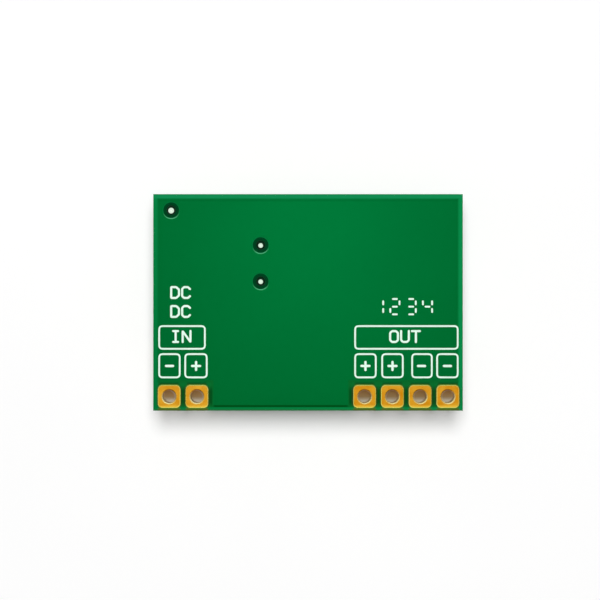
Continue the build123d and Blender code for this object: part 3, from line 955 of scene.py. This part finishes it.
words = Ink()
for text, x, y in WORDS:
    words.word(text, x, y)
words.piece("print_words", white_ink)

numbers = Ink()
for n, digit in enumerate(NUMBERS):
    numbers.number(digit, NUMBER_LEFT + n * NUMBER_PITCH, NUMBER_TOP)
numbers.piece("print_numbers", white_ink)


# Floor, light and camera


# The floor's lift is what it adds to its own light for the rays that show it
FLOOR_SIZE = 3.0
FLOOR_LIFT = 0.075
WHITE_SPAN = (60 * MM, 160 * MM)  # from the middle; beyond it the floor is plain white

# Painted warm light and shade on the floor under the gold holes, lighter towards the board's
# lower edge, with heights counted up from their middles
PATCH_SPREAD = 1.042  # the camera sees them through the holes this much further out
PATCH_SPAN = (0.55 * MM, 1.4 * MM)
PATCH_LEVELS = (-0.4 * MM, 0.02 * MM, 0.62 * MM)
PATCH_LOW = colour(244, 230, 206)
PATCH_MIDDLE = colour(208, 168, 118)
PATCH_HIGH = colour(196, 138, 82)
# The patches' painted glow for the rays that show them, strongest towards the board's lower edge
PATCH_LIFTS = (0.3, 0.13)
PATCH_LIFT_SPAN = (-0.5 * MM, -0.1 * MM)

# Light. A white surface that faces up comes out just below white.
SKY_LEVEL = 0.12
KEY_WATTS = 7.4
KEY_SIZE = (380 * MM, 547 * MM)
KEY_AT = (0.0, 178 * MM, 882 * MM)
GLINT_WATTS = 0.5
GLINT_SIZE = (520 * MM, 120 * MM)
GLINT_AT = (0.0, 319 * MM, 241 * MM)

# Camera, straight above the board
CAMERA_AT = (-0.733 * MM, 0.219 * MM, 158 * MM)
CAMERA_LENS = 100
CAMERA_SENSOR = 36
CAMERA_NEAR = 10 * MM


def shown_white(nodes, links):
    """1 for rays that show the background: camera, mirrored and passing ones."""
    path = nodes.new("ShaderNodeLightPath")
    total = path.outputs["Is Camera Ray"]
    for name in ("Is Glossy Ray", "Is Transmission Ray"):
        step = nodes.new("ShaderNodeMath")
        step.operation = "MAXIMUM"
        links.new(total, step.inputs[0])
        links.new(path.outputs[name], step.inputs[1])
        total = step.outputs[0]
    return total


def make_floor():
    """A pale floor that keeps the shadow, with painted warm light and shade under the gold holes.
    """
    bpy.ops.mesh.primitive_plane_add(size=FLOOR_SIZE)
    floor = bpy.context.object
    floor.name = "floor"
    finish = Finish("floor", Specular_IOR_Level=0.0)
    seen = shown_white(finish.nodes, finish.links)
    paper = finish.mix(finish.noise(40 * MM), colour(249, 249, 249), colour(251, 251, 251))
    glow = finish.fade(finish.from_axes([place * PATCH_SPREAD for place in PADS]), PATCH_SPAN)
    glow = finish.times(glow, glow)
    up = finish.axis("Y")
    row = PAD_ROW * PATCH_SPREAD
    low, middle, high = moved(PATCH_LEVELS, row)
    # Painted warm light and shade, lighter towards the board's lower edge
    warm_light_and_shade = finish.mix(finish.remap(up, low, middle), PATCH_LOW, PATCH_MIDDLE)
    warm_light_and_shade = finish.mix(finish.remap(up, middle, high), warm_light_and_shade, PATCH_HIGH)
    shown = finish.mix(glow, paper, warm_light_and_shade)
    # Painted glow: the patches lit up further for the rays that show them
    patch_lift = finish.remap(up, *moved(PATCH_LIFT_SPAN, row), *PATCH_LIFTS)
    lift = finish.remap(glow, 0, 1, FLOOR_LIFT, patch_lift)
    far = finish.times(finish.remap(finish.from_axes([(0, 0)]), *WHITE_SPAN), seen)
    finish.wear(
        Base_Color=finish.mix(far, shown, colour(0, 0, 0)),
        Roughness=0.9,
        Emission_Color=shown,
        Emission_Strength=finish.plus(finish.times(seen, lift), far),
    )
    floor.data.materials.append(finish.material)


def make_sky():
    """White where it is seen or mirrored, and plain soft light elsewhere."""
    world = bpy.data.worlds.new("studio")
    bpy.context.scene.world = world
    world.use_nodes = True
    nodes = world.node_tree.nodes
    links = world.node_tree.links
    level = nodes.new("ShaderNodeMapRange")
    links.new(shown_white(nodes, links), level.inputs["Value"])
    level.inputs["To Min"].default_value = SKY_LEVEL
    level.inputs["To Max"].default_value = 1.0
    sky = nodes["Background"]
    sky.inputs["Color"].default_value = (1, 1, 1, 1)
    links.new(level.outputs[0], sky.inputs["Strength"])


def make_lamp(name, at, watts, size, mirrored):
    """A lamp that looks at the board: it lights the surfaces, or only shows in glossy ones."""
    lamp = bpy.data.lights.new(name, "AREA")
    lamp.energy = watts
    lamp.shape = "ELLIPSE"
    lamp.size, lamp.size_y = size
    held = bpy.data.objects.new(name, lamp)
    bpy.context.scene.collection.objects.link(held)
    held.location = at
    held.rotation_euler = (-Vector(at)).to_track_quat("-Z", "Y").to_euler()
    held.visible_glossy = mirrored
    held.visible_diffuse = not mirrored
    held.visible_camera = False


def make_camera():
    """Straight above, with the board's long side across the frame."""
    data = bpy.data.cameras.new("camera")
    data.lens = CAMERA_LENS
    data.sensor_width = CAMERA_SENSOR
    data.clip_start = CAMERA_NEAR
    held = bpy.data.objects.new("camera", data)
    bpy.context.scene.collection.objects.link(held)
    held.location = CAMERA_AT
    bpy.context.scene.camera = held


make_floor()
make_sky()
make_lamp("key", KEY_AT, KEY_WATTS, KEY_SIZE, mirrored=False)
make_lamp("glint", GLINT_AT, GLINT_WATTS, GLINT_SIZE, mirrored=True)
make_camera()
bpy.context.scene.view_settings.view_transform = "Standard"
